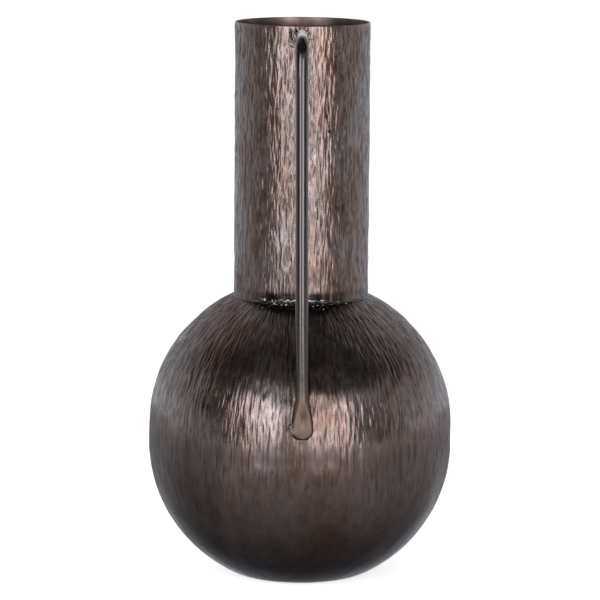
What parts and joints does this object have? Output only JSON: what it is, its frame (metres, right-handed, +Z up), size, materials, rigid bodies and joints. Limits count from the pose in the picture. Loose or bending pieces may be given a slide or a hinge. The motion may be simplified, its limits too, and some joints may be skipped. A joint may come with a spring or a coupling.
{
  "type": "urn vase",
  "caption": "Tall handled urn vase of welded dark metal: ball body with a flat base, straight tube neck open at the rim, and slim rod handles from the rim down to the shoulder.",
  "frame": {"origin": "centre of the base, on the table", "axes": "+Z up along the neck; the handles stand at -Y (front, towards the camera) and +Y (rear)"},
  "size_m": [0.24, 0.242, 0.44],
  "materials": {
    "bowl_sheet": "chased sheet steel, copper plated and darkened, satin",
    "neck_sheet": "chased sheet steel, copper plated and darkened, satin",
    "handle_bar": "forged steel bar, darkened, gloss",
    "weld_bead": "weld metal, darkened, gloss"
  },
  "bodies": {
    "root": {"lower_bowl": "bowl_sheet", "upper_bowl": "bowl_sheet", "girth_weld": "bowl_sheet", "neck_tube": "neck_sheet", "neck_weld": "weld_bead", "front_handle": "handle_bar", "front_handle_top_weld": "weld_bead", "front_handle_foot_weld": "weld_bead", "rear_handle": "handle_bar", "rear_handle_top_weld": "weld_bead", "rear_handle_foot_weld": "weld_bead"}
  },
  "joints": []
}
